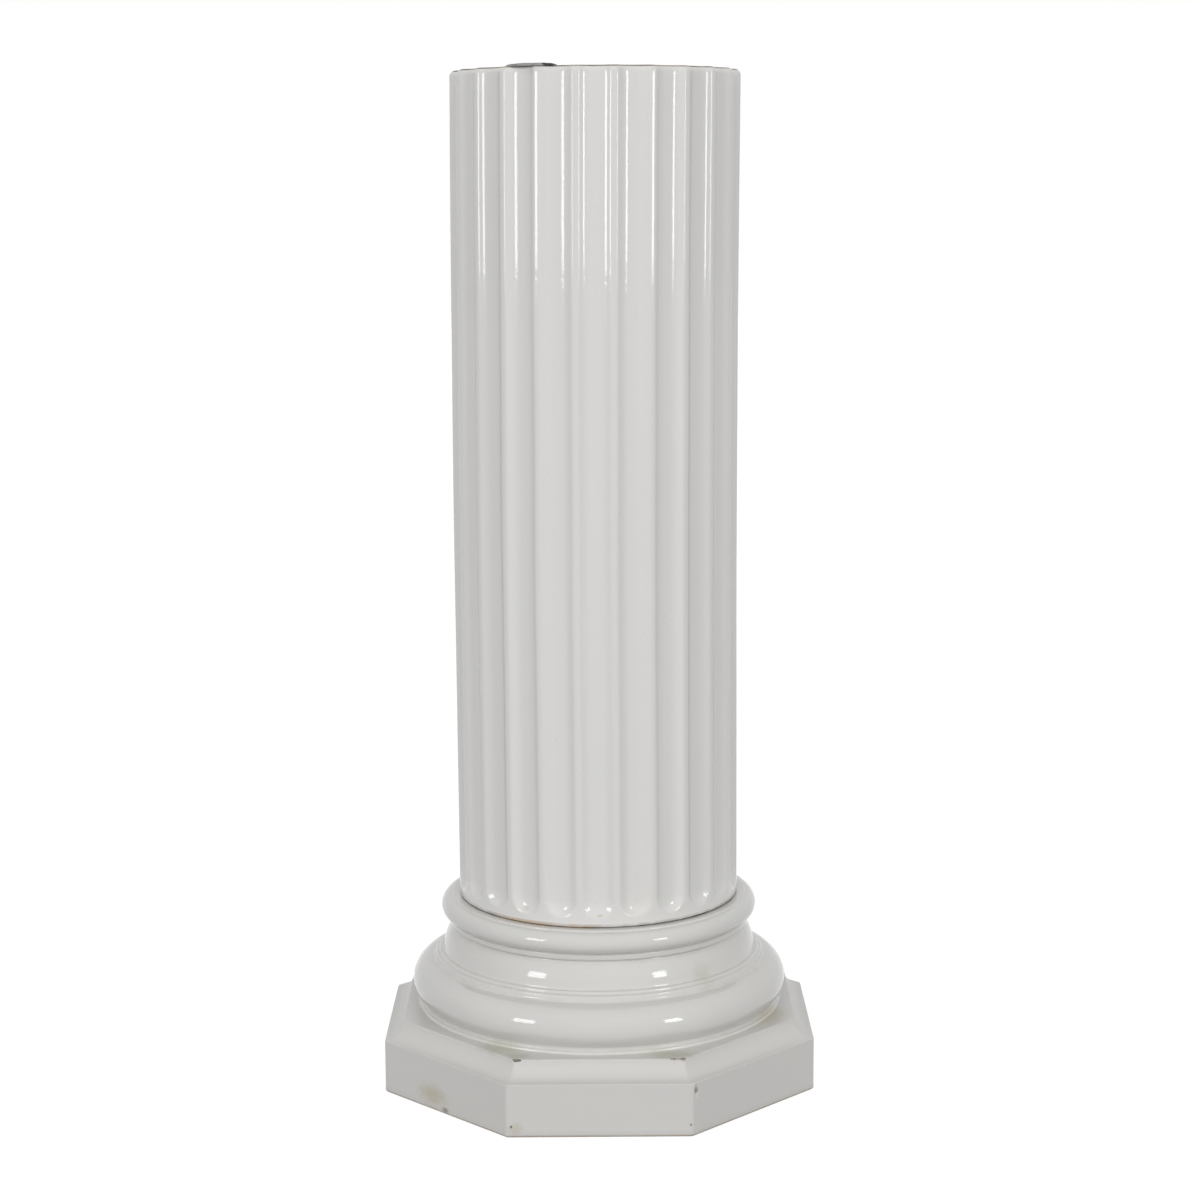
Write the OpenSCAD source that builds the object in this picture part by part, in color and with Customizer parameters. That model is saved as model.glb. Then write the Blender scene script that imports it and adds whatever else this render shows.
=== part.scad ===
// Fluted column pedestal in glazed ceramic, in two hollow pieces: a round
// shaft with a closed top, standing on a base whose round mouldings rise
// from an octagonal plinth. Millimetres, +Z up, origin at the centre of the
// underside, with one flat side of the plinth and one flute towards -Y.

/* [Shaft] */
// Length of the shaft, from its foot to its rim
shaft_h = 693.5; // [400:0.5:1000]
// Diameter of the shaft over the ridges between its flutes
shaft_d = 240; // [160:1:400]
// Wall of the shaft behind the deepest part of a flute
shaft_wall = 10; // [6:0.5:18]
// Thickness of the closed top
top_plate = 12; // [8:0.5:25]
// Rounding of the rim
rim_round = 5; // [2:0.5:8]
// Rounding of the shaft's foot, at the joint
foot_round = 1.5; // [0.5:0.5:4]

/* [Flutes] */
// Number of flutes round the shaft
flute_count = 24; // [12:4:32]
// Width of the ridge between two flutes
ridge_w = 7; // [4:0.5:14]
// Depth of a flute at its middle
flute_depth = 4.5; // [1.5:0.25:6]
// Plain band left between the flutes' round ends and the shaft's foot
foot_band = 8.5; // [4:0.5:40]

/* [Rim lump] */
// Thickness of the lump of old filler left on the rim
lump_d = 8; // [4:0.5:10]
// Height of the lump above the rim
lump_rise = 2.5; // [1:0.5:4]
// Length of the lump along the rim
lump_len = 42; // [20:1:80]
// Direction of the lump's middle, counted from -Y towards -X
lump_angle = 26; // [0:1:360]

/* [Base heights, from the joint down] */
// Thin collar that the shaft stands on
collar_h = 1.8; // [1:0.1:6]
// Upper torus
upper_torus_h = 18.2; // [10:0.2:30]
// Fillet under the upper torus
upper_fillet_h = 5.5; // [3:0.1:10]
// Flared band between the fillets
band_h = 23.3; // [12:0.1:50]
// Small step under the band
step_h = 2.6; // [2:0.1:8]
// Fillet over the lower torus
lower_fillet_h = 5.6; // [3:0.1:12]
// Lower torus
lower_torus_h = 38; // [24:0.5:60]
// Thin bead between the lower torus and the plinth
bead_h = 1; // [0.5:0.1:4]
// Plinth, with its cove
plinth_h = 60.5; // [40:0.5:120]

/* [Base reach, outwards from the shaft's surface] */
// Collar
collar_out = 6.5; // [4:0.1:12]
// Widest part of the upper torus
upper_torus_out = 15.8; // [13:0.1:30]
// Upper fillet
upper_fillet_out = 11; // [8:0.1:16]
// Top of the band
band_top_out = 6.5; // [4:0.1:10]
// Foot of the band
band_foot_out = 14.5; // [10:0.1:20]
// Step
step_out = 17.8; // [15:0.1:24]
// Lower fillet
lower_fillet_out = 21.3; // [18:0.1:30]
// Widest part of the lower torus
lower_torus_out = 41.1; // [32:0.1:60]
// Bead
bead_out = 36.5; // [28:0.1:40]
// Faces of the plinth, outwards from the lower torus
plinth_out = 20.4; // [17:0.1:60]

/* [Base details] */
// Swell of the band's outline over a straight line
band_swell = 1.6; // [0.5:0.1:4]
// Radius of the cove along the plinth's upper edge
cove_r = 15.5; // [6:0.5:20]
// Rounding of the fillets' edges
fillet_round = 1.2; // [0.4:0.1:1.2]
// Wall of the base
base_wall = 12; // [8:0.5:16]
// Width of the ledge that reaches inwards past the shaft's inner wall
seat_lip = 5; // [0:0.5:20]

/* [Hidden] */

$fn = 96;
EPS = 0.01;            // overlap that joins faces cleanly
OVER = 5;              // how far a cutter runs past what it cuts
GLAZE = "#d9d7d1";
GLAZE_BASE = "#d3d1ca";
FILLER = "#9a9893";

// Heights above the floor
bead_z = plinth_h;
lower_torus_z = bead_z + bead_h;
lower_fillet_z = lower_torus_z + lower_torus_h;
step_z = lower_fillet_z + lower_fillet_h;
band_z = step_z + step_h;
upper_fillet_z = band_z + band_h;
upper_torus_z = upper_fillet_z + upper_fillet_h;
collar_z = upper_torus_z + upper_torus_h;
base_h = collar_z + collar_h;
rim_z = base_h + shaft_h;

// Radii of the shaft
shaft_r = shaft_d / 2;
bore_r = shaft_r - flute_depth - shaft_wall;

// One flute is cut by a round-ended rod whose radius gives the width and the
// depth that are named above
pitch = 360 / flute_count;
flute_half = (pitch - ridge_w / shaft_r * 180 / PI) / 2;
chord_half = shaft_r * sin(flute_half);
chord_depth = flute_depth - shaft_r * (1 - cos(flute_half));
flute_r = (pow(chord_depth, 2) + pow(chord_half, 2)) / (2 * chord_depth);
flute_axis = shaft_r - flute_depth + flute_r;
// Height of a rod's round end below its full width, where it leaves the shaft
flute_end = sqrt(pow(flute_r, 2) - pow(flute_r - flute_depth, 2));

// Radii of the base
lower_torus_r = shaft_r + lower_torus_out;
plinth_a = lower_torus_r + plinth_out;
ledge_a = plinth_a - cove_r;

// A disc in outline, from the axis to r, with both outer edges rounded
module slab(r, z, h, round_r) {
    translate([0, z]) square([r - round_r, h]);
    translate([0, z + round_r]) square([r, h - 2 * round_r]);
    for (edge_z = [z + round_r, z + h - round_r])
        translate([r - round_r, edge_z]) circle(round_r);
}

// A half-round moulding in outline, widest at r
module torus(r, z, h) {
    translate([r - h / 2, z + h / 2]) circle(h / 2);
    translate([0, z]) square([r - h / 2, h]);
}

// The band in outline: a flared side that swells a little
module band(z, h, r_foot, r_top, swell) {
    run = r_foot - r_top;
    side = sqrt(run * run + h * h);
    arc_r = (side * side / 4 + swell * swell) / (2 * swell);
    inward = (arc_r - swell) / side;
    polygon([[0, z], [r_foot, z], [r_top, z + h], [0, z + h]]);
    intersection() {
        translate([(r_foot + r_top) / 2 - inward * h, z + h / 2 - inward * run])
            circle(arc_r, $fn = 360);
        translate([0, z]) square([r_foot + swell, h]);
    }
}

module octagon(apothem) {
    rotate(22.5) circle(r = apothem / cos(22.5), $fn = 8);
}

// The shaft's outline: a plain wall with a rounded foot and rim, hollow
// from below up to the closed top
module shaft_outline() {
    difference() {
        union() {
            square([shaft_r - rim_round, shaft_h]);
            translate([0, foot_round])
                square([shaft_r, shaft_h - foot_round - rim_round]);
            square([shaft_r - foot_round, shaft_h / 2]);
            translate([shaft_r - foot_round, foot_round]) circle(foot_round);
            translate([shaft_r - rim_round, shaft_h - rim_round]) circle(rim_round);
        }
        translate([-EPS, -EPS]) square([bore_r + EPS, shaft_h - top_plate + EPS]);
    }
}

// A rod with a round lower end, turned in one piece
module flute_rod() {
    rod_h = shaft_h - foot_band - flute_end + OVER;
    rotate_extrude() {
        square([flute_r, rod_h]);
        intersection() {
            circle(flute_r);
            translate([0, -flute_r]) square([flute_r, flute_r + EPS]);
        }
    }
}

// The lump lies just inside the rim and has round ends
module rim_lump() {
    lump_ring = shaft_r - flute_depth - lump_d / 2;
    lump_span = (lump_len - lump_d) / lump_ring * 180 / PI;
    rotate(-90 - lump_angle - lump_span / 2) {
        hull() for (turn = [0, lump_span])
            rotate(turn) translate([lump_ring, 0, 0]) sphere(d = lump_d, $fn = 24);
    }
}

module fluted_shaft() {
    color(GLAZE) translate([0, 0, base_h]) difference() {
        rotate_extrude($fn = 192) shaft_outline();
        for (i = [0 : flute_count - 1])
            rotate(i * pitch - 90) translate([flute_axis, 0, foot_band + flute_end]) flute_rod();
    }
    color(FILLER) translate([0, 0, rim_z + lump_rise - lump_d / 2]) rim_lump();
}

// The turned mouldings, filled in to the axis
module mouldings_outline() {
    slab(shaft_r + bead_out, bead_z - OVER, bead_h + 2 * OVER, bead_h / 3);
    torus(lower_torus_r, lower_torus_z, lower_torus_h);
    slab(shaft_r + lower_fillet_out, lower_fillet_z - OVER, lower_fillet_h + OVER, fillet_round);
    slab(shaft_r + step_out, step_z - OVER, step_h + OVER, fillet_round);
    band(band_z, band_h, shaft_r + band_foot_out, shaft_r + band_top_out, band_swell);
    slab(shaft_r + upper_fillet_out, upper_fillet_z, upper_fillet_h + EPS, fillet_round);
    torus(shaft_r + upper_torus_out, upper_torus_z, upper_torus_h);
    slab(shaft_r + collar_out, collar_z - OVER, collar_h + OVER, fillet_round);
}

// The hollow of the base inside its mouldings, which keeps one wall behind them
module hollow_outline() {
    neck_r = bore_r - seat_lip;
    drum_r = shaft_r + lower_fillet_out - base_wall;
    drum_z = step_z - base_wall;
    polygon([
        [0, -OVER], [ledge_a - base_wall, -OVER],
        [ledge_a - base_wall, plinth_h - base_wall],
        [drum_r, plinth_h - base_wall],
        [drum_r, drum_z],
        [neck_r, drum_z + (drum_r - neck_r)],
        [neck_r, base_h + OVER], [0, base_h + OVER]
    ]);
}

module plinth() {
    difference() {
        linear_extrude(plinth_h) octagon(plinth_a);
        for (i = [0 : 7])
            rotate(i * 45 - 90) translate([plinth_a, 0, plinth_h])
                rotate([90, 0, 0]) cylinder(r = cove_r, h = 2 * plinth_a, center = true);
    }
}

module octagonal_base() {
    color(GLAZE_BASE) difference() {
        union() {
            plinth();
            rotate_extrude($fn = 192) mouldings_outline();
        }
        rotate_extrude($fn = 192) hollow_outline();
        translate([0, 0, -OVER])
            linear_extrude(plinth_h - cove_r - base_wall + OVER) octagon(plinth_a - base_wall);
    }
}

fluted_shaft();
octagonal_base();
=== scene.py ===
# Fluted column pedestal in glazed ceramic: a round shaft standing on a
# moulded base with an octagonal plinth. Metres, +Z up, one flat side of the
# plinth and one flute towards -Y.
import math
import random

import bmesh
import bpy
from mathutils import Matrix, Vector, noise


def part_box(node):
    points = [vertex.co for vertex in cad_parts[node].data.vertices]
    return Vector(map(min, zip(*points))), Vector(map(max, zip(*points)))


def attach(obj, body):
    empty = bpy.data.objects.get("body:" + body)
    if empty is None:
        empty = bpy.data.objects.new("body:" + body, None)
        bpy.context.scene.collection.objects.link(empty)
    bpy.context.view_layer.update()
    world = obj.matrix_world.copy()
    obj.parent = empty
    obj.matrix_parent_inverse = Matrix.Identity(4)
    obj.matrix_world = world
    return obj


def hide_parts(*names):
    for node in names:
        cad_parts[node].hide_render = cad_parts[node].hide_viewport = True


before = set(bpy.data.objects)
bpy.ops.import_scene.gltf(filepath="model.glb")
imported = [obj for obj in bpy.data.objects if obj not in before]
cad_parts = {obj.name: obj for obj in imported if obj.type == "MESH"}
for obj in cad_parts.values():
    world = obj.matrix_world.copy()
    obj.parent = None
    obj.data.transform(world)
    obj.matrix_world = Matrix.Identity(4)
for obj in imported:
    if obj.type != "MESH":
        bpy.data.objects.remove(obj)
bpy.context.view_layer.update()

MM = 0.001
SHAFT_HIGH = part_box("fluted_shaft")[1]
BASE_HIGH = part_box("octagonal_base")[1]
JOINT_Z = BASE_HIGH.z                  # the shaft stands on the base here
SHAFT_R = SHAFT_HIGH.x                 # over the ridges
SHAFT_LENGTH = 693.5 * MM              # to the rim, without the filler on it
RIM_Z = JOINT_Z + SHAFT_LENGTH
PLINTH_A = BASE_HIGH.x                 # from the axis to a face of the plinth

FLUTES = 24
FLUTE_DEPTH = 4.5 * MM
FLUTE_HALF_WIDTH = 12.7 * MM
FLUTE_HOLLOWNESS = 3.15                # 2 is a round hollow, more is flatter at the bottom
RIDGE_ROUND = 3 * MM
FOOT_BAND = 8.5 * MM                   # plain band under the flutes' ends
RIM_ROUND = 5 * MM
TOP_PLATE = 12 * MM
SHAFT_WALL = 10 * MM                   # behind the deepest part of a flute
SEAT_LIP = 5 * MM                      # how far the seat reaches past the shaft's inner wall
BORE_R = SHAFT_R - FLUTE_DEPTH - SHAFT_WALL
NECK_R = BORE_R - SEAT_LIP

PLINTH_SIDES = 8
PLINTH_TOP = 60.5 * MM
PLINTH_WALL = 12 * MM
CORNER_ROUND = 0.012                   # of the plinth's corners, as a share of its reach
COVE_R = 15.5 * MM

FILLER_TURN = 26.3                     # degrees from the front to the filler's middle
FILLER_LENGTH = 46 * MM
FILLER_HALF_WIDTH = 3.9 * MM
FILLER_RISE = 2.35 * MM
FILLER_INSET = 4 * MM                  # from the flutes' bottoms to its middle line

SHAFT_BOW = 0.7 * MM
SHAFT_LEAN = 1.6 * MM
JOINT_FADE = 4 * MM                    # the joint's unevenness has faded out this far above it

# The glaze, the clay under it, and the dirt on it; soot and moss also serve as painted shade in
# the hollows and along the rim
GLAZE_TONE = (0.735, 0.728, 0.712, 1)
BASE_TONE = (0.665, 0.657, 0.638, 1)
WORN_TONE = (0.635, 0.625, 0.606, 1)
BODY_TONE = (0.56, 0.475, 0.385, 1)
SOOT_AND_SHADE = (0.035, 0.032, 0.028, 1)
RUST = (0.56, 0.385, 0.22, 1)
MOSS_AND_SHADE = (0.34, 0.34, 0.17, 1)
OCHRE = (0.47, 0.40, 0.24, 1)
UMBER = (0.19, 0.135, 0.085, 1)


def metres(lengths):
    return [length * MM for length in lengths]


def placed(name, data):
    """A new object in the scene for this mesh, lamp or camera."""
    thing = bpy.data.objects.new(name, data)
    bpy.context.scene.collection.objects.link(thing)
    return thing


# ---------------------------------------------------------------- node trees

class Graph:
    """Adds nodes to one tree and joins their sockets."""

    def __init__(self, tree, given=(), gives=()):
        self.tree = tree
        for kind, name, value in given:
            socket = tree.interface.new_socket(name=name, in_out="INPUT", socket_type=kind)
            if value is not None:
                socket.default_value = value
        for kind, name in gives:
            tree.interface.new_socket(name=name, in_out="OUTPUT", socket_type=kind)
        if given:
            self.given = tree.nodes.new("NodeGroupInput").outputs
        if gives:
            self.gives = tree.nodes.new("NodeGroupOutput").inputs

    def join(self, value, socket):
        if isinstance(value, bpy.types.NodeSocket):
            self.tree.links.new(value, socket)
        else:
            socket.default_value = value

    def add(self, kind, sockets=None, **settings):
        node = self.tree.nodes.new(kind)
        for name, value in settings.items():
            setattr(node, name, value)
        for key, value in (sockets or {}).items():
            self.join(value, node.inputs[key])
        return node

    def math(self, operation, *values, clamp=False):
        node = self.add("ShaderNodeMath", operation=operation, use_clamp=clamp)
        for value, socket in zip(values, node.inputs):
            self.join(value, socket)
        return node.outputs[0]

    def vector(self, operation, *values, out=0):
        node = self.add("ShaderNodeVectorMath", operation=operation)
        for value, socket in zip(values, node.inputs):
            self.join(value, socket)
        return node.outputs[out]

    def blend(self, share, first, second):
        node = self.add("ShaderNodeMix", {0: share, 6: first, 7: second}, data_type="RGBA")
        return node.outputs[2]

    def ramp(self, value, start, end, low=0.0, high=1.0):
        node = self.add("ShaderNodeMapRange", {0: value, 1: start, 2: end, 3: low, 4: high},
                        interpolation_type="SMOOTHSTEP")
        return node.outputs[0]

    def noise(self, coordinates, scale, detail=2.0, rough=0.5):
        node = self.add("ShaderNodeTexNoise", {"Vector": coordinates, "Scale": scale,
                                               "Detail": detail, "Roughness": rough})
        return node.outputs[0]

    def group(self, tree, sockets):
        kind = "GeometryNodeGroup" if tree.bl_idname == "GeometryNodeTree" else "ShaderNodeGroup"
        node = self.tree.nodes.new(kind)
        node.node_tree = tree
        for key, value in sockets.items():
            self.join(value, node.inputs[key])
        return node.outputs


def geometry_tree(name, given, gives=(("NodeSocketGeometry", "Surface"),)):
    return Graph(bpy.data.node_groups.new(name, "GeometryNodeTree"), given, gives)


def shader_group(name, given, gives):
    return Graph(bpy.data.node_groups.new(name, "ShaderNodeTree"), given, gives)


# ------------------------------------------------------------------ outlines

class Outline:
    """Points of an outline, as reach from the axis and height, with what the surface is there."""
    # groove is how far a point lies in a hollow; there the glaze is darkened with dirt and painted
    # shade
    KEYS = ("facet", "flute", "groove", "bare")

    def __init__(self):
        self.rows = []

    def to(self, reach, height, facet=0.0, flute=0.0, groove=0.0, bare=0.0):
        self.rows.append((reach, height, facet, flute, groove, bare))

    def arc(self, centre, radius, start, end, steps, **look):
        for k in range(steps + 1):
            turn = math.radians(start + (end - start) * k / steps)
            self.to(centre[0] + radius * math.cos(turn), centre[1] + radius * math.sin(turn),
                    **look)

    def softened(self, edge, hollow, steps=5):
        """The rows with edges rounded and hollows filled by the glaze, each to its own radius.
        A row beside each rounding keeps the flats flat."""
        no_length, least_turn, most_share, beside = 1e-7, math.radians(24), 0.48, 1.25
        rows = self.rows
        out = [rows[0]]
        for before, here, after in zip(rows, rows[1:], rows[2:]):
            a = Vector(before[:2]) - Vector(here[:2])
            b = Vector(after[:2]) - Vector(here[:2])
            if min(a.length, b.length) < no_length or math.pi - a.angle(b) < least_turn:
                out.append(here)
                continue
            turns_in = a.x * b.y - a.y * b.x < 0
            cut = min(hollow if turns_in else edge, most_share * a.length, most_share * b.length)
            start, end = cut / a.length, cut / b.length
            if a.length > 4 * cut:
                out.append(between(here, before, start * beside))
            for k in range(steps + 1):
                t = k / steps
                p, q = between(here, before, start), between(here, after, end)
                out.append(tuple((1 - t) ** 2 * i + 2 * t * (1 - t) * j + t * t * m
                                 for i, j, m in zip(p, here, q)))
            if b.length > 4 * cut:
                out.append(between(here, after, end * beside))
        out.append(rows[-1])
        return out


def between(first, second, share):
    """The row that lies this share of the way from the first to the second."""
    return tuple(a + (b - a) * share for a, b in zip(first, second))


def outline_object(name, rows):
    """The rows as loose points, each with what the surface is there."""
    mesh = bpy.data.meshes.new(name)
    mesh.from_pydata([(row[0], 0, row[1]) for row in rows], [], [])
    for column, key in enumerate(Outline.KEYS, start=2):
        attribute = mesh.attributes.new(key, "FLOAT", "POINT")
        for value, row in zip(attribute.data, rows):
            value.value = row[column]
    return placed(name, mesh)


def shaft_rows():
    """From the middle of the closed top, out over the rim, down the wall and up the hollow."""
    o = Outline()
    for reach in (0, 30, 60, 85):
        o.to(reach * MM, RIM_Z, bare=1)
    o.to(100 * MM, RIM_Z, bare=1, flute=0.5)
    o.to(109 * MM, RIM_Z, bare=1, flute=0.9)
    o.to(112.5 * MM, RIM_Z, bare=1, flute=0.95, groove=0.55)
    # The rim, glazed up to about halfway round. Its bare part, and the edge of the top just inside
    # it, take the hollows' darkening: a painted shade line along the rim.
    steps = 10
    for k in range(steps + 1):
        turn = math.radians(90 - 90 * k / steps)
        bare = max(0.0, min(1.0, (math.degrees(turn) - 44) / 14))
        o.to(SHAFT_R - RIM_ROUND + RIM_ROUND * math.cos(turn),
             RIM_Z - RIM_ROUND + RIM_ROUND * math.sin(turn), flute=1, bare=bare, groove=bare)
    # The long wall, with closer rows round the flutes' feet
    top, low, rows = RIM_Z - RIM_ROUND, JOINT_Z + 26 * MM, 40
    for k in range(1, rows):
        o.to(SHAFT_R, top + (low - top) * k / rows, flute=1)
    for k in range(23):
        o.to(SHAFT_R, low - k * MM, flute=1)
    # The foot, and the dark joint under it
    o.to(SHAFT_R, JOINT_Z + 2.6 * MM, groove=0.6)
    o.to(SHAFT_R - 0.1 * MM, JOINT_Z + 1.1 * MM, groove=0.9)
    o.to(SHAFT_R - 0.4 * MM, JOINT_Z + 0.35 * MM, groove=1, bare=0.3)
    o.to(SHAFT_R - 1.2 * MM, JOINT_Z + 0.1 * MM, groove=1, bare=1)
    o.to(SHAFT_R - 8 * MM, JOINT_Z + 0.05 * MM, groove=1, bare=1)
    o.to(SHAFT_R - 9 * MM, JOINT_Z, bare=1)
    # The hollow
    o.to(BORE_R, JOINT_Z, bare=1)
    ceiling = RIM_Z - TOP_PLATE
    for height in (2, 200, 400, 600):
        o.to(BORE_R, JOINT_Z + height * MM, bare=1)
    o.to(BORE_R, ceiling, bare=1)
    o.to(60 * MM, ceiling, bare=1)
    o.to(0, ceiling, bare=1)
    return o.softened(edge=0.6 * MM, hollow=0.8 * MM)


def base_rows():
    """From the seat, out over the collar, down the mouldings and the plinth, and up the hollow."""
    o = Outline()
    r = SHAFT_R
    o.to(NECK_R, JOINT_Z, bare=1)
    o.to(112 * MM, JOINT_Z, bare=1, groove=0.6)
    o.to(r - 3 * MM, JOINT_Z, bare=0.8, groove=1)
    o.to(r - 1.4 * MM, JOINT_Z - 0.4 * MM, bare=0.6, groove=0.9)
    o.to(r + 0.6 * MM, JOINT_Z - 0.4 * MM, groove=0.55)
    o.to(r + 2.2 * MM, JOINT_Z - 0.36 * MM, groove=0.1)
    o.to(r + 6.3 * MM, JOINT_Z - 0.33 * MM)
    # Upper torus, with the collar over it
    o.to(r + 6.5 * MM, 154.6 * MM, groove=0.5)
    o.arc((r + 6.7 * MM, 145.6 * MM), 9.1 * MM, 76, -62, 20)
    # Upper fillet
    o.to(r + 7.8 * MM, 136.2 * MM, groove=1)
    o.to(r + 8.8 * MM, 135.4 * MM)
    o.to(r + 8.7 * MM, 131.2 * MM)
    # Swelling band: a slanted line that bulges at right angles to itself, from a quarter of
    # the way down, clear of the fillet
    o.to(r + 5.6 * MM, 130.2 * MM, groove=1)
    steps, swell, bulge_out, bulge_up = 16, 2.4 * MM, 0.946, 0.325
    for k in range(4, steps):
        t = k / steps
        out, down = 4.8 + 9.7 * t, 130.4 - 22.7 * t
        bulge = swell * 4 * t * (1 - t)
        o.to(r + out * MM + bulge * bulge_out, down * MM + bulge * bulge_up)
    # Step and lower fillet
    o.to(r + 15.0 * MM, 107.7 * MM, groove=0.9)
    o.to(r + 17.8 * MM, 107.5 * MM)
    o.to(r + 18.2 * MM, 105.2 * MM, groove=0.6)
    o.to(r + 21.3 * MM, 104.9 * MM)
    o.to(r + 21.6 * MM, 99.6 * MM, groove=0.8)
    # Lower torus
    o.arc((r + 22.1 * MM, 80.5 * MM), 19 * MM, 70, -50, 30)
    # Bead at the torus's foot
    o.to(r + 33.6 * MM, 63.1 * MM, groove=0.9)
    o.to(r + 36.5 * MM, 62.2 * MM)
    o.to(r + 36.9 * MM, 60.6 * MM, groove=1)
    # Ledge, cove and faces of the plinth
    ledge = PLINTH_A - COVE_R
    o.to(r + 38.8 * MM, PLINTH_TOP, groove=0.3)
    o.to(ledge - 3 * MM, PLINTH_TOP, facet=1)
    o.to(ledge, PLINTH_TOP, facet=1)
    steps = 16
    for k in range(1, steps):
        turn = math.radians(90 * k / steps)
        o.to(PLINTH_A - COVE_R * math.cos(turn), PLINTH_TOP - COVE_R * math.sin(turn), facet=1)
    o.to(PLINTH_A, PLINTH_TOP - COVE_R, facet=1)
    for height in (38, 30, 22, 14, 7):
        o.to(PLINTH_A, height * MM, facet=1)
    o.to(PLINTH_A, 2.2 * MM, facet=1, bare=0.35)
    o.to(PLINTH_A - 0.4 * MM, 1.0 * MM, facet=1, bare=1)
    o.to(PLINTH_A - 1.4 * MM, 0, facet=1, bare=1)
    o.to(PLINTH_A - PLINTH_WALL, 0, facet=1, bare=1)
    o.to(PLINTH_A - PLINTH_WALL, 33 * MM, facet=1, bare=1)
    # Hollow
    ledge_r, drum_r = 154 * MM, 129.3 * MM
    o.to(ledge_r, 33 * MM, bare=1)
    o.to(ledge_r, 48.5 * MM, bare=1)
    o.to(drum_r, 48.5 * MM, bare=1)
    o.to(drum_r, 93.1 * MM, bare=1)
    o.to(NECK_R, 121.9 * MM, bare=1)
    o.to(NECK_R, 140 * MM, bare=1)
    o.to(NECK_R, JOINT_Z, bare=1)
    return o.softened(edge=1.6 * MM, hollow=3.2 * MM)


# ------------------------------------------------------------ turned surfaces

def named(g, key):
    """The number that a surface's points keep under this name."""
    return g.add("GeometryNodeInputNamedAttribute", {"Name": key}, data_type="FLOAT").outputs[0]


def noted(g, surface, key, value):
    """The surface, with a number kept at each of its points under this name."""
    return g.add("GeometryNodeStoreNamedAttribute",
                 {"Geometry": surface, "Name": key, "Value": value},
                 data_type="FLOAT", domain="POINT").outputs[0]


def turned_surface():
    """An outline carried round the axis. The steps crowd towards the ends of each side."""
    g = geometry_tree("turned surface", (
        ("NodeSocketGeometry", "Outline", None), ("NodeSocketInt", "Sides", 8),
        ("NodeSocketInt", "Steps per side", 40), ("NodeSocketFloat", "Crowding", 1.0)))
    count = g.add("GeometryNodeAttributeDomainSize", {0: g.given["Outline"]}).outputs[0]
    steps = g.given["Steps per side"]
    turns = g.math("ADD", g.math("MULTIPLY", g.given["Sides"], steps), 1)
    grid = g.add("GeometryNodeMeshGrid", {"Size X": 1.0, "Size Y": 1.0, "Vertices X": turns,
                                          "Vertices Y": count}).outputs[0]
    index = g.add("GeometryNodeInputIndex").outputs[0]
    column = g.math("FLOOR", g.math("DIVIDE", g.math("ADD", index, 0.25), count))
    row = g.math("SUBTRACT", index, g.math("MULTIPLY", column, count))
    side = g.math("FLOOR", g.math("DIVIDE", g.math("ADD", column, 0.25), steps))
    along = g.math("SUBTRACT", g.math("DIVIDE", column, steps), side)
    centred = g.math("SUBTRACT", g.math("MULTIPLY", along, 2.0), 1.0)
    crowded = g.math("SINE", g.math("MULTIPLY", centred, math.pi / 2))
    share = g.given["Crowding"]
    place = g.math("ADD", g.math("MULTIPLY", crowded, share),
                   g.math("MULTIPLY", centred, g.math("SUBTRACT", 1.0, share)))
    half_side = g.math("DIVIDE", math.pi, g.given["Sides"])
    offset = g.math("MULTIPLY", place, half_side)
    turn = g.math("ADD", g.math("MULTIPLY", side, g.math("MULTIPLY", half_side, 2.0)),
                  g.math("SUBTRACT", offset, math.pi / 2))
    position = g.add("GeometryNodeInputPosition").outputs[0]
    point = g.add("GeometryNodeSampleIndex",
                  {"Geometry": g.given["Outline"], "Value": position, "Index": row},
                  data_type="FLOAT_VECTOR", domain="POINT").outputs[0]
    parts = g.add("ShaderNodeSeparateXYZ", {0: point}).outputs
    place_in_space = g.add("ShaderNodeCombineXYZ", {
        0: g.math("MULTIPLY", parts[0], g.math("COSINE", turn)),
        1: g.math("MULTIPLY", parts[0], g.math("SINE", turn)), 2: parts[2]}).outputs[0]
    surface = grid
    for key in Outline.KEYS:
        carried = g.add("GeometryNodeSampleIndex",
                        {"Geometry": g.given["Outline"], "Value": named(g, key), "Index": row},
                        data_type="FLOAT", domain="POINT").outputs[0]
        surface = noted(g, surface, key, carried)
    surface = noted(g, surface, "offset", offset)
    surface = g.add("GeometryNodeSetPosition",
                    {"Geometry": surface, "Position": place_in_space}).outputs[0]
    g.join(surface, g.gives["Surface"])
    return g.tree


def finish_tree(g, surface, factor, material):
    """Scales the surface from the axis, closes its seam and poles, and gives it its material."""
    same_place = 2e-6
    position = g.add("GeometryNodeInputPosition").outputs[0]
    flat = g.add("ShaderNodeCombineXYZ", {0: factor, 1: factor, 2: 1.0}).outputs[0]
    scaled = g.vector("MULTIPLY", position, flat)
    moved = g.add("GeometryNodeSetPosition", {"Geometry": surface, "Position": scaled}).outputs[0]
    closed = g.add("GeometryNodeMergeByDistance",
                   {"Geometry": moved, "Distance": same_place}).outputs[0]
    smooth = g.add("GeometryNodeSetShadeSmooth", {0: closed}).outputs[0]
    real = g.add("GeometryNodeRealizeInstances", {0: smooth}).outputs[0]
    clad = g.add("GeometryNodeSetMaterial", {"Geometry": real, "Material": material}).outputs[0]
    g.join(clad, g.gives["Surface"])
    return g.tree


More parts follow.
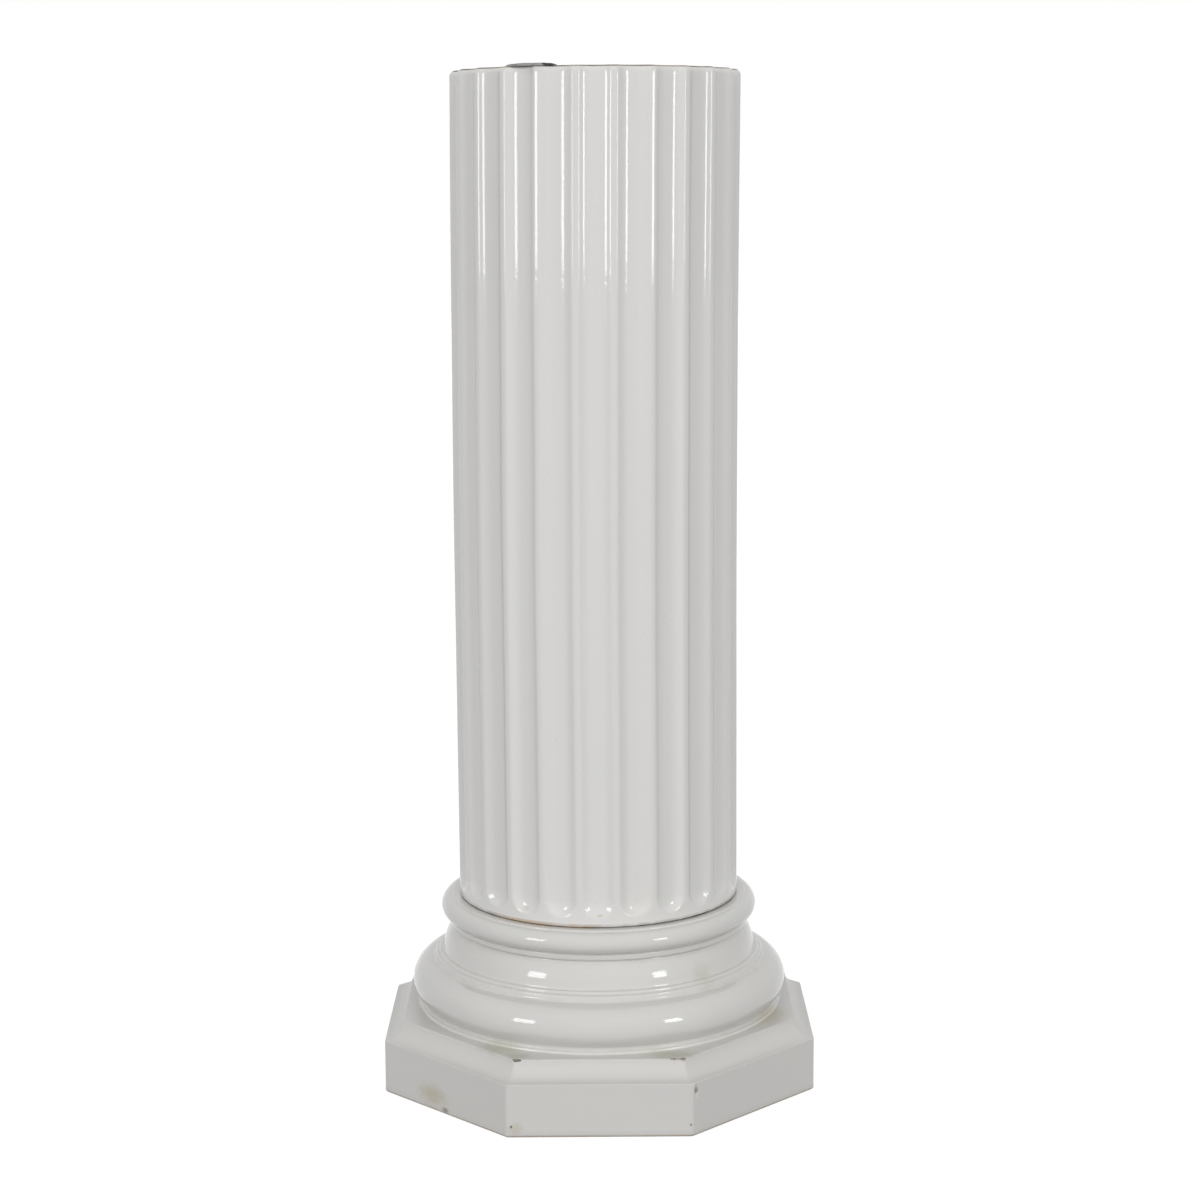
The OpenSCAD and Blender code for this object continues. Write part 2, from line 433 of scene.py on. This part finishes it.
def shaft_tree(turned, material):
    g = geometry_tree("fluted shaft", (
        ("NodeSocketGeometry", "Outline", None), ("NodeSocketInt", "Flutes", 24),
        ("NodeSocketFloat", "Radius", 0.12), ("NodeSocketFloat", "Flute depth", 0.0045),
        ("NodeSocketFloat", "Half width", 0.0127), ("NodeSocketFloat", "Hollowness", 3.15),
        ("NodeSocketFloat", "Ridge rounding", 0.003), ("NodeSocketFloat", "Flute foot", 0.165)))
    surface = g.group(turned, {"Outline": g.given["Outline"], "Sides": g.given["Flutes"],
                               "Steps per side": 28, "Crowding": 0.35})[0]
    parts = g.add("ShaderNodeSeparateXYZ",
                  {0: g.add("GeometryNodeInputPosition").outputs[0]}).outputs
    radius, half = g.given["Radius"], g.given["Half width"]
    across = g.math("MULTIPLY", g.math("ABSOLUTE", named(g, "offset")), radius)
    # Below this height a flute closes in a half-round end
    drop = g.math("MAXIMUM", g.math("SUBTRACT", g.math("ADD", g.given["Flute foot"], half),
                                    parts[2]), 0.0)
    away = g.math("SQRT", g.math("ADD", g.math("MULTIPLY", across, across),
                                 g.math("MULTIPLY", drop, drop)))
    rise = g.math("MULTIPLY", g.given["Flute depth"],
                  g.math("POWER", g.math("DIVIDE", away, half), g.given["Hollowness"]))
    hollow = g.math("ADD", g.math("SUBTRACT", radius, g.given["Flute depth"]), rise)
    wall = g.math("SMOOTH_MIN", radius, hollow, g.given["Ridge rounding"])
    cut = g.math("MULTIPLY", g.math("SUBTRACT", radius, wall), named(g, "flute"))
    reach = g.math("MAXIMUM", g.math("SQRT", g.math("ADD", g.math("MULTIPLY", parts[0], parts[0]),
                                                    g.math("MULTIPLY", parts[1], parts[1]))), 1e-4)
    factor = g.math("SUBTRACT", 1.0, g.math("DIVIDE", cut, reach))
    return finish_tree(g, surface, factor, material)


def base_tree(turned, material):
    g = geometry_tree("octagonal base", (
        ("NodeSocketGeometry", "Outline", None), ("NodeSocketInt", "Sides", 8),
        ("NodeSocketFloat", "Corner rounding", 0.012)))
    surface = g.group(turned, {"Outline": g.given["Outline"], "Sides": g.given["Sides"],
                               "Steps per side": 38, "Crowding": 0.9})[0]
    offset = g.math("ABSOLUTE", named(g, "offset"))
    side = g.math("DIVIDE", 2 * math.pi, g.given["Sides"])
    this_face = g.math("DIVIDE", 1.0, g.math("COSINE", offset))
    next_face = g.math("DIVIDE", 1.0, g.math("COSINE", g.math("SUBTRACT", side, offset)))
    flat = g.math("SMOOTH_MIN", this_face, next_face, g.given["Corner rounding"])
    factor = g.math("ADD", 1.0, g.math("MULTIPLY", g.math("SUBTRACT", flat, 1.0),
                                       named(g, "facet")))
    return finish_tree(g, surface, factor, material)


def grown(name, outline, tree, values, material):
    """The tree's result on an outline, as a plain mesh of its own, with one material."""
    modifier = outline.modifiers.new("Shape", "NODES")
    modifier.node_group = tree
    for item in tree.interface.items_tree:
        if item.item_type == "SOCKET" and item.in_out == "INPUT" and item.name in values:
            modifier[item.identifier] = values[item.name]
    seen = outline.evaluated_get(bpy.context.evaluated_depsgraph_get())
    mesh = bpy.data.meshes.new_from_object(seen)
    mesh.name = name
    mesh.materials.clear()
    mesh.materials.append(material)
    mesh.polygons.foreach_set("material_index", [0] * len(mesh.polygons))
    outline.modifiers.clear()
    bpy.data.objects.remove(outline)
    outwards(mesh)
    return placed(name, mesh)


def outwards(mesh):
    """Turns the faces so that they all look out of the piece."""
    shape = bmesh.new()
    shape.from_mesh(mesh)
    bmesh.ops.recalc_face_normals(shape, faces=shape.faces)
    shape.to_mesh(mesh)
    shape.free()


# ------------------------------------------------------------- hand-made form

def settle_shaft(mesh):
    """The slight bow and unevenness of a cast and glazed shaft, and its open joint."""
    inside = 108 * MM                  # nothing nearer the axis moves
    for vertex in mesh.vertices:
        p = vertex.co
        reach = math.hypot(p.x, p.y)
        if reach < inside:
            continue
        t = (p.z - JOINT_Z) / (RIM_Z - JOINT_Z)
        bow = math.sin(math.pi * min(max(t, 0.0), 1.0))
        uneven = noise.noise(Vector((p.x * 9, p.y * 9, p.z * 5))) * 0.3 * MM * bow
        scale = 1 + (uneven - 0.15 * MM) / reach
        sway = 0.0035 * bow * noise.noise(Vector((math.atan2(p.y, p.x) * 5, p.z * 8, 3.0)))
        p.x, p.y = ((p.x - p.y * sway) * scale - SHAFT_BOW * bow, (p.y + p.x * sway) * scale)
        if JOINT_Z + 0.08 * MM < p.z < JOINT_Z + JOINT_FADE:
            # the joint is a little wider on the right, and uneven
            open_by = 0.02 + 0.34 * p.x / SHAFT_R + 0.3 * noise.noise(p * 38)
            p.z += max(0.0, open_by) * MM * (JOINT_Z + JOINT_FADE - p.z) / JOINT_FADE
        p.x += SHAFT_LEAN * max(t, 0.0) ** 3


def settle_base(mesh):
    """Mouldings turned and fettled by hand are never quite true."""
    inside, foot, seat = 125 * MM, 3 * MM, JOINT_Z - 1 * MM
    for vertex in mesh.vertices:
        p = vertex.co
        reach = math.hypot(p.x, p.y)
        if reach < inside or p.z < foot or p.z > seat:
            continue
        uneven = (noise.noise(p * 11) - 1.0) * 0.15 * MM
        scale = 1 + uneven / reach
        p.x, p.y = p.x * scale, p.y * scale


def chip_cutter(centre, size, seed, material):
    """A small rough lump that breaks a piece of glaze away."""
    chance = random.Random(seed)
    shape = bmesh.new()
    bmesh.ops.create_icosphere(shape, subdivisions=3, radius=1)
    shift = Vector([chance.uniform(-9, 9) for _ in range(3)])
    for vertex in shape.verts:
        vertex.co *= 1 + 0.28 * noise.noise(vertex.co * 1.7 + shift)
        vertex.co = Vector([c * s for c, s in zip(vertex.co, size)]) + Vector(centre)
    mesh = bpy.data.meshes.new("chip")
    shape.to_mesh(mesh)
    shape.free()
    mesh.materials.append(material)
    return placed("chip", mesh)


def chipped(piece, chips, material):
    """The piece with its chips cut out of it."""
    first_seed = 40
    for number, (centre, size) in enumerate(chips):
        cutter = chip_cutter(metres(centre), metres(size), first_seed + number, material)
        cut = piece.modifiers.new("chip", "BOOLEAN")
        cut.operation, cut.solver, cut.object = "DIFFERENCE", "EXACT", cutter
        cut.material_mode = "TRANSFER"
        seen = piece.evaluated_get(bpy.context.evaluated_depsgraph_get())
        mesh = bpy.data.meshes.new_from_object(seen)
        piece.modifiers.clear()
        piece.data = mesh
        bpy.data.objects.remove(cutter)


def rim_filler(material):
    """A smear of old filler left along the rim, lumpy and thinning out at both ends."""
    around, along = 20, 60
    ring = SHAFT_R - FLUTE_DEPTH - FILLER_INSET
    middle, span = math.radians(-90 - FILLER_TURN), FILLER_LENGTH / ring
    verts, faces = [], []
    for i in range(along + 1):
        t = 2 * i / along - 1
        turn = middle + t * span / 2
        taper = math.sqrt(max(0.0, 1 - abs(t) ** 3.2))
        for k in range(around):
            a = 2 * math.pi * k / around
            wide = FILLER_HALF_WIDTH * taper * (1 + 0.16 * noise.noise(Vector((t * 4, 2.0, a))))
            tall = FILLER_RISE * taper * (0.93 + 0.14 * noise.noise(Vector((t * 5, 0.3, 7.0))))
            reach = ring + wide * math.cos(a)
            # flat below, where it sits on the top, and domed above
            lift = tall * math.sin(a) if math.sin(a) > 0 else 0.6 * MM * math.sin(a)
            verts.append((reach * math.cos(turn), reach * math.sin(turn), RIM_Z + lift))
    for i in range(along):
        for k in range(around):
            n = (k + 1) % around
            here, ahead = i * around, (i + 1) * around
            faces.append((here + k, here + n, ahead + n, ahead + k))
    mesh = bpy.data.meshes.new("rim_filler")
    mesh.from_pydata(verts, [], faces)
    shape = bmesh.new()
    shape.from_mesh(mesh)
    bmesh.ops.remove_doubles(shape, verts=shape.verts, dist=5e-6)
    bmesh.ops.holes_fill(shape, edges=[e for e in shape.edges if e.is_boundary], sides=0)
    bmesh.ops.recalc_face_normals(shape, faces=shape.faces)
    for face in shape.faces:
        face.smooth = True
    shape.to_mesh(mesh)
    shape.free()
    mesh.materials.append(material)
    return placed("rim_filler", mesh)


# ------------------------------------------------------------------- finishes

def skin_group():
    """The look of the glaze: drifting tone, faint specks, and a gently rippled surface."""
    g = shader_group("glaze skin", (
        ("NodeSocketVector", "Coordinates", None), ("NodeSocketColor", "Tone", GLAZE_TONE),
        ("NodeSocketFloat", "Ripple", 1.0)), (
        ("NodeSocketColor", "Color"), ("NodeSocketFloat", "Height"),
        ("NodeSocketFloat", "Dullness")))
    at = g.given["Coordinates"]
    stretched = g.vector("MULTIPLY", at, (1.0, 1.0, 0.35))
    drift = g.noise(stretched, 7.0, 3.0)
    colour = g.blend(g.ramp(drift, 0.3, 0.75, 0.0, 0.35), g.given["Tone"], (0.70, 0.695, 0.665, 1))
    milky = g.noise(at, 26.0, 2.0, 0.5)
    colour = g.blend(g.ramp(milky, 0.25, 0.85, 0.0, 0.12), colour, (0.76, 0.753, 0.74, 1))
    speck = g.noise(at, 620.0, 1.0)
    colour = g.blend(g.ramp(speck, 0.765, 0.80, 0.0, 0.4), colour, (0.38, 0.35, 0.29, 1))
    ripple = g.math("ADD", g.math("MULTIPLY", g.noise(at, 95.0, 2.0), 0.75),
                    g.math("MULTIPLY", g.noise(at, 330.0, 1.0), 0.16))
    g.join(colour, g.gives["Color"])
    g.join(g.math("MULTIPLY", ripple, g.given["Ripple"]), g.gives["Height"])
    g.join(g.math("MULTIPLY", milky, 0.03), g.gives["Dullness"])
    return g.tree


def spot_group():
    """A ragged spot round a point."""
    g = shader_group("spot", (
        ("NodeSocketVector", "Coordinates", None), ("NodeSocketVector", "Centre", (0, 0, 0)),
        ("NodeSocketVector", "Reach", (0.01, 0.01, 0.01)), ("NodeSocketFloat", "Ragged", 0.5),
        ("NodeSocketFloat", "Softness", 0.6)), (("NodeSocketFloat", "Mask"),))
    away = g.vector("LENGTH", g.vector("DIVIDE", g.vector("SUBTRACT", g.given["Coordinates"],
                                                          g.given["Centre"]), g.given["Reach"]),
                    out=1)
    rough = g.noise(g.given["Coordinates"], 240.0, 4.0, 0.65)
    ragged = g.math("MULTIPLY", g.math("SUBTRACT", rough, 0.5), g.given["Ragged"])
    torn = g.math("ADD", away, ragged)
    edge = g.math("SUBTRACT", 1.0, g.given["Softness"])
    g.join(g.ramp(torn, edge, 1.0, 1.0, 0.0), g.gives["Mask"])
    return g.tree


def grime_and_shade_group():
    """Dirt and painted shade that settle in the hollows, thicker here and there."""
    g = shader_group("grime_and_shade", (
        ("NodeSocketVector", "Coordinates", None), ("NodeSocketFloat", "Hollow", 0.0),
        ("NodeSocketFloat", "Amount", 0.6), ("NodeSocketFloat", "Clumps", 30.0)),
        (("NodeSocketFloat", "Mask"),))
    patchy = g.noise(g.given["Coordinates"], g.given["Clumps"], 5.0, 0.65)
    cover = g.ramp(patchy, 0.36, 0.66, 0.12, 1.0)
    g.join(g.math("MULTIPLY", g.math("MULTIPLY", g.ramp(g.given["Hollow"], 0.15, 1.0), cover),
                  g.given["Amount"]), g.gives["Mask"])
    return g.tree


def body_group():
    """Bare fired clay, with its grain."""
    g = shader_group("bare body", (
        ("NodeSocketVector", "Coordinates", None), ("NodeSocketColor", "Tone", BODY_TONE)), (
        ("NodeSocketColor", "Color"), ("NodeSocketFloat", "Height")))
    at = g.given["Coordinates"]
    cloud = g.noise(at, 22.0, 4.0, 0.6)
    grain = g.noise(at, 700.0, 3.0, 0.7)
    colour = g.blend(g.ramp(cloud, 0.35, 0.7), g.given["Tone"], (0.64, 0.575, 0.49, 1))
    colour = g.blend(g.ramp(grain, 0.55, 0.75, 0.0, 0.4), colour, (0.33, 0.26, 0.19, 1))
    g.join(colour, g.gives["Color"])
    g.join(grain, g.gives["Height"])
    return g.tree


def new_material(name):
    """A material, its graph, the one shader in it, and the place of each of its points."""
    material = bpy.data.materials.new(name)
    material.use_nodes = True
    material.node_tree.nodes.clear()
    g = Graph(material.node_tree)
    shader = g.add("ShaderNodeBsdfPrincipled")
    g.join(shader.outputs[0], g.add("ShaderNodeOutputMaterial").inputs[0])
    at = g.add("ShaderNodeTexCoord").outputs["Object"]
    return material, g, shader, at


def attribute(g, key):
    """The number that the surface keeps under this name, where the material is looked at."""
    return g.add("ShaderNodeAttribute", attribute_name=key).outputs["Fac"]


def roughened(g, shader, height, strength, distance):
    """Gives the shader the fine relief of this height."""
    bump = g.add("ShaderNodeBump", {"Strength": strength, "Distance": distance, "Height": height})
    g.join(bump.outputs[0], shader.inputs["Normal"])


def glaze(name, groups, tone, dullness, grime_and_shade, marks, matt_below=None):
    """Glossy off-white glaze over clay, with a list of marks on it. Dirt and painted shade lie in
    its hollows, as colour, amount and how close its clumps are.
    Below the height matt_below it is thinner, duller and smoother."""
    material, g, shader, at = new_material(name)
    low, ripple = 0.0, 1.0
    if matt_below:
        height = g.add("ShaderNodeSeparateXYZ", {0: at}).outputs[2]
        low = g.ramp(height, matt_below, matt_below + 2 * MM, 1.0, 0.0)
        ripple = g.math("SUBTRACT", 1.0, g.math("MULTIPLY", low, 0.75))
    skin = g.group(groups["skin"], {"Coordinates": at, "Tone": tone, "Ripple": ripple})
    body = g.group(groups["body"], {"Coordinates": at})
    colour = g.blend(g.math("MULTIPLY", low, 0.6), skin["Color"], WORN_TONE)
    rough = g.math("ADD", g.math("ADD", skin["Dullness"], dullness),
                   g.math("MULTIPLY", low, 0.34))
    hollow = attribute(g, "groove")
    # Darkens the hollows: dirt, and painted shade in the creases
    for tint, amount, clumps in grime_and_shade:
        mask = g.group(groups["grime_and_shade"], {"Coordinates": at, "Hollow": hollow, "Amount": amount,
                                         "Clumps": clumps})[0]
        colour = g.blend(mask, colour, tint)
        rough = g.math("ADD", rough, g.math("MULTIPLY", mask, 0.3))
    near_joint = g.ramp(hollow, 0.25, 0.8)
    for centre, reach, ragged, soft, tint, amount, *hugs in marks:
        mask = g.group(groups["spot"], {"Coordinates": at, "Centre": metres(centre),
                                        "Reach": metres(reach), "Ragged": ragged,
                                        "Softness": soft})[0]
        mask = g.math("MULTIPLY", mask, amount)
        if hugs:
            mask = g.math("MULTIPLY", mask, near_joint)
        colour = g.blend(mask, colour, tint)
        rough = g.math("ADD", rough, g.math("MULTIPLY", mask, 0.3))
    # Where the glaze stops, the clay shows with a torn edge
    torn = g.math("ADD", attribute(g, "bare"),
                  g.math("MULTIPLY", g.math("SUBTRACT", g.noise(at, 160.0, 3.0), 0.5), 0.5))
    bare = g.ramp(torn, 0.42, 0.58)
    # Bare clay in a hollow goes towards soot: dirt in the joint, and a painted shade line along
    # the rim's top
    soot_and_shade = g.math("MULTIPLY", g.ramp(hollow, 0.5, 1.0, 0.0, 0.9),
                   g.ramp(g.noise(at, 55.0, 4.0, 0.6), 0.34, 0.62, 0.25, 1.0))
    colour = g.blend(bare, colour, g.blend(soot_and_shade, body["Color"], SOOT_AND_SHADE))
    rough = g.math("ADD", rough, g.math("MULTIPLY", bare, 0.65), clamp=True)
    sunk = g.math("SUBTRACT", body["Height"], 1.5)
    height = g.math("ADD", skin["Height"], g.math("MULTIPLY", bare, sunk))
    g.join(colour, shader.inputs["Base Color"])
    g.join(rough, shader.inputs["Roughness"])
    roughened(g, shader, height, strength=0.22, distance=0.6 * MM)
    shader.inputs["IOR"].default_value = 1.6
    return material


def bare_clay(groups):
    """Freshly broken and since dirtied clay in the chips."""
    material, g, shader, at = new_material("chipped clay")
    body = g.group(groups["body"], {"Coordinates": at, "Tone": (0.30, 0.26, 0.22, 1)})
    dirty = g.noise(at, 420.0, 3.0, 0.6)
    colour = g.blend(g.ramp(dirty, 0.35, 0.6), (0.11, 0.10, 0.09, 1), body["Color"])
    g.join(colour, shader.inputs["Base Color"])
    shader.inputs["Roughness"].default_value = 0.85
    roughened(g, shader, body["Height"], strength=0.5, distance=0.5 * MM)
    return material


def old_filler(groups):
    """Grey filler, dull and dirty, almost black at one end."""
    material, g, shader, at = new_material("old filler")
    cloud = g.noise(at, 130.0, 5.0, 0.65)
    colour = g.blend(g.ramp(cloud, 0.35, 0.65), (0.23, 0.22, 0.225, 1), (0.37, 0.35, 0.36, 1))
    dark = g.group(groups["spot"], {"Coordinates": at, "Centre": metres((-34, -106, 852)),
                                    "Reach": metres((7, 8, 4)), "Ragged": 0.5,
                                    "Softness": 0.35})[0]
    colour = g.blend(dark, colour, (0.03, 0.03, 0.028, 1))
    g.join(colour, shader.inputs["Base Color"])
    shader.inputs["Roughness"].default_value = 0.78
    roughened(g, shader, cloud, strength=0.6, distance=0.8 * MM)
    return material


# Marks: centre and reach (mm), raggedness, softness, colour and strength. A mark that
# hugs keeps to the hollow of the joint.
SHAFT_MARKS = [
    ((-60.7, -103.5, 169.0), (5, 5, 3.2), 0.9, 0.8, MOSS_AND_SHADE, 0.55),
    ((-28.3, -116.6, 169.3), (4, 4, 2.2), 0.9, 0.8, OCHRE, 0.55),
    ((1.2, -120.0, 166.7), (4, 4, 2.0), 0.9, 0.8, OCHRE, 0.5),
    # rust drawn out of the joint, along the front's left half
    ((-60, -104, 157.0), (52, 46, 4.6), 1.0, 0.85, RUST, 0.6, "hugs"),
    ((-14, -119, 157.0), (22, 14, 4.2), 1.0, 0.85, RUST, 0.55, "hugs"),
    ((60, 102, 157.2), (40, 30, 4.2), 0.9, 0.8, RUST, 0.6, "hugs"),
    # rim stain under the filler
    ((-50, -106, 848), (20, 14, 6), 0.8, 0.9, (0.52, 0.50, 0.52, 1), 0.4),
]

BASE_MARKS = [
    ((-60, -108, 156.5), (48, 38, 3.6), 0.9, 0.8, RUST, 0.5, "hugs"),
    ((-14, -121, 156.5), (20, 10, 3.2), 0.9, 0.8, RUST, 0.4, "hugs"),
    # yellow-green dirt where the torus meets the plinth
    ((-84, -140, 61.5), (30, 24, 5.0), 0.7, 0.9, MOSS_AND_SHADE, 0.34),
    ((-66, -158, 61.5), (16, 12, 4.5), 0.7, 0.9, MOSS_AND_SHADE, 0.38),
    ((60, -156, 61.5), (30, 16, 4.5), 0.7, 0.85, MOSS_AND_SHADE, 0.42),
    ((140, -60, 62.0), (32, 40, 6.0), 0.7, 0.9, OCHRE, 0.45),
    ((-120, 110, 62.0), (40, 40, 5.5), 0.8, 0.85, MOSS_AND_SHADE, 0.42),
    ((86, -104, 108), (16, 14, 20), 0.9, 0.95, MOSS_AND_SHADE, 0.22),
    # stains, pits and ticks on the plinth and the lower torus
    ((-139, -118, 13), (25, 25, 13), 0.9, 0.95, OCHRE, 0.55),
    ((-127.6, -129.1, 3.8), (6, 6, 3.4), 0.8, 0.8, UMBER, 0.7),
    ((-68, -181.5, 7.5), (9, 6, 7), 0.9, 0.9, OCHRE, 0.4),
    ((-71.5, -181.5, 9.5), (1.3, 1.3, 1.5), 0.4, 0.4, UMBER, 0.9),
    ((73.5, -181.5, 10.3), (1.1, 1.1, 1.2), 0.4, 0.4, UMBER, 0.85),
    ((-86.0, -170.7, 47.0), (1.5, 1.5, 1.3), 0.4, 0.4, SOOT_AND_SHADE, 0.85),
    ((53.6, -145.4, 77.7), (1.2, 2, 2.2), 0.4, 0.4, UMBER, 0.5),
    ((-16.0, -156.0, 100.5), (5, 5, 2.2), 0.9, 0.7, (0.36, 0.35, 0.31, 1), 0.5),
]

# Chips in the base: centre and size (mm)
CHIPS = [
    ((-68.0, -166.2, 60.5), (5.6, 2.3, 1.9)),
    ((60.6, -166.3, 60.7), (3.6, 1.8, 1.4)),
    ((68.4, -165.8, 60.6), (4.2, 2.2, 1.7)),
    ((78.6, -179.4, 38.4), (2.4, 1.9, 3.0)),
    ((-86.2, -171.0, 47.0), (1.3, 1.1, 1.1)),
]


# --------------------------------------------------------------------- studio

def white_to_eye(g):
    """1 to the eye, to reflections and to anything clear, and 0 to the rest."""
    path = g.add("ShaderNodeLightPath").outputs
    return g.math("MAXIMUM", path["Is Camera Ray"], g.math(
        "MAXIMUM", path["Is Glossy Ray"], path["Is Transmission Ray"]))


def studio_floor():
    """A pale floor that takes the object's shadow and is white to whatever looks at it."""
    mesh = bpy.data.meshes.new("floor")
    half, white = 12.0, 0.88
    mesh.from_pydata([(-half, -half, 0), (half, -half, 0), (half, half, 0), (-half, half, 0)],
                     [], [(0, 1, 2, 3)])
    floor = placed("floor", mesh)
    material, g, shader = new_material("floor")[:3]
    seen = white_to_eye(g)
    shader.inputs["Base Color"].default_value = (0.22, 0.22, 0.22, 1)
    shader.inputs["Roughness"].default_value = 0.9
    shader.inputs["Emission Color"].default_value = (1, 1, 1, 1)
    g.join(g.math("MULTIPLY", seen, white), shader.inputs["Emission Strength"])
    mesh.materials.append(material)


def studio_world(around, front, behind, beside):
    """White behind whatever is looked at. The light on the object is fullest from the front,
    with a little from behind and from both sides, so that every side has its form."""
    world = bpy.data.worlds.new("studio")
    bpy.context.scene.world = world
    world.use_nodes = True
    world.node_tree.nodes.clear()
    g = Graph(world.node_tree)
    towards = g.add("ShaderNodeTexCoord").outputs["Generated"]
    ahead = g.math("MAXIMUM", g.vector("DOT_PRODUCT", towards, (0.04, -0.96, 0.28), out=1), 0.0)
    after = g.math("MAXIMUM", g.vector("DOT_PRODUCT", towards, (0.0, 0.99, 0.14), out=1), 0.0)
    side = g.vector("DOT_PRODUCT", towards, (1.0, 0.0, 0.0), out=1)
    light = around
    for lobe, share in ((ahead, front), (after, behind), (side, beside)):
        light = g.math("ADD", light, g.math("MULTIPLY", g.math("MULTIPLY", lobe, lobe), share))
    seen = white_to_eye(g)
    strength = g.math("ADD", seen, g.math("MULTIPLY", g.math("SUBTRACT", 1.0, seen), light))
    back = g.add("ShaderNodeBackground", {"Color": (1, 1, 1, 1), "Strength": strength})
    g.join(back.outputs[0], g.add("ShaderNodeOutputWorld").inputs[0])


def softbox(name, azimuth, distance, height, size, power):
    """A rectangular lamp that faces the column's axis squarely, azimuth degrees from the front."""
    lamp = bpy.data.lights.new(name, "AREA")
    lamp.shape = "RECTANGLE"
    lamp.size, lamp.size_y = size
    lamp.energy = power
    turn = math.radians(azimuth - 90)
    place = Vector((distance * math.cos(turn), distance * math.sin(turn), height))
    look = place - Vector((0, 0, height))
    facing = look.to_track_quat("Z", "Y").to_matrix().to_4x4()
    placed(name, lamp).matrix_world = Matrix.Translation(place) @ facing


def camera():
    """Stands in front, a little under the rim's height, and looks slightly down."""
    place, tilt, roll = (0.00248, -2.11296, 0.76497), 80.449, -0.3664
    lens = bpy.data.cameras.new("camera")
    lens.sensor_width = 36.0
    lens.lens = 75.66
    holder = placed("camera", lens)
    holder.matrix_world = (Matrix.Translation(place)
                           @ Matrix.Rotation(math.radians(tilt), 4, "X")
                           @ Matrix.Rotation(math.radians(roll), 4, "Z"))
    bpy.context.scene.camera = holder


# ----------------------------------------------------------------------- make

def main():
    groups = {"skin": skin_group(), "spot": spot_group(), "grime_and_shade": grime_and_shade_group(),
              "body": body_group()}
    # The grime lists darken the hollows with dirt and painted shade
    shaft_glaze = glaze("shaft glaze", groups, GLAZE_TONE, dullness=0.055,
                        grime_and_shade=[(SOOT_AND_SHADE, 0.35, 60.0)], marks=SHAFT_MARKS)
    base_glaze = glaze("base glaze", groups, BASE_TONE, dullness=0.05,
                       grime_and_shade=[(MOSS_AND_SHADE, 0.14, 18.0), ((0.42, 0.40, 0.33, 1), 0.26, 60.0)],
                       marks=BASE_MARKS, matt_below=PLINTH_TOP - 0.5 * MM)
    clay = bare_clay(groups)
    turned = turned_surface()

    shaft = grown("glazed_shaft", outline_object("shaft outline", shaft_rows()),
                  shaft_tree(turned, shaft_glaze),
                  {"Flutes": FLUTES, "Radius": SHAFT_R, "Flute depth": FLUTE_DEPTH,
                   "Half width": FLUTE_HALF_WIDTH, "Hollowness": FLUTE_HOLLOWNESS,
                   "Ridge rounding": RIDGE_ROUND, "Flute foot": JOINT_Z + FOOT_BAND}, shaft_glaze)
    settle_shaft(shaft.data)

    base = grown("glazed_base", outline_object("base outline", base_rows()),
                 base_tree(turned, base_glaze),
                 {"Sides": PLINTH_SIDES, "Corner rounding": CORNER_ROUND}, base_glaze)
    settle_base(base.data)
    chipped(base, CHIPS, clay)

    filler = rim_filler(old_filler(groups))

    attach(shaft, "root")
    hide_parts("fluted_shaft")
    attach(base, "root")
    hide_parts("octagonal_base")
    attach(filler, "root")

    studio_floor()
    studio_world(around=0.04, front=1.72, behind=0.95, beside=0.24)
    softbox("left softbox", azimuth=-45.5, distance=3.0, height=1.02,
            size=(0.74, 0.86), power=12.5)
    softbox("right softbox", azimuth=44.5, distance=3.0, height=1.00,
            size=(0.52, 0.86), power=9.8)
    camera()
    bpy.context.scene.view_settings.view_transform = "Standard"


main()
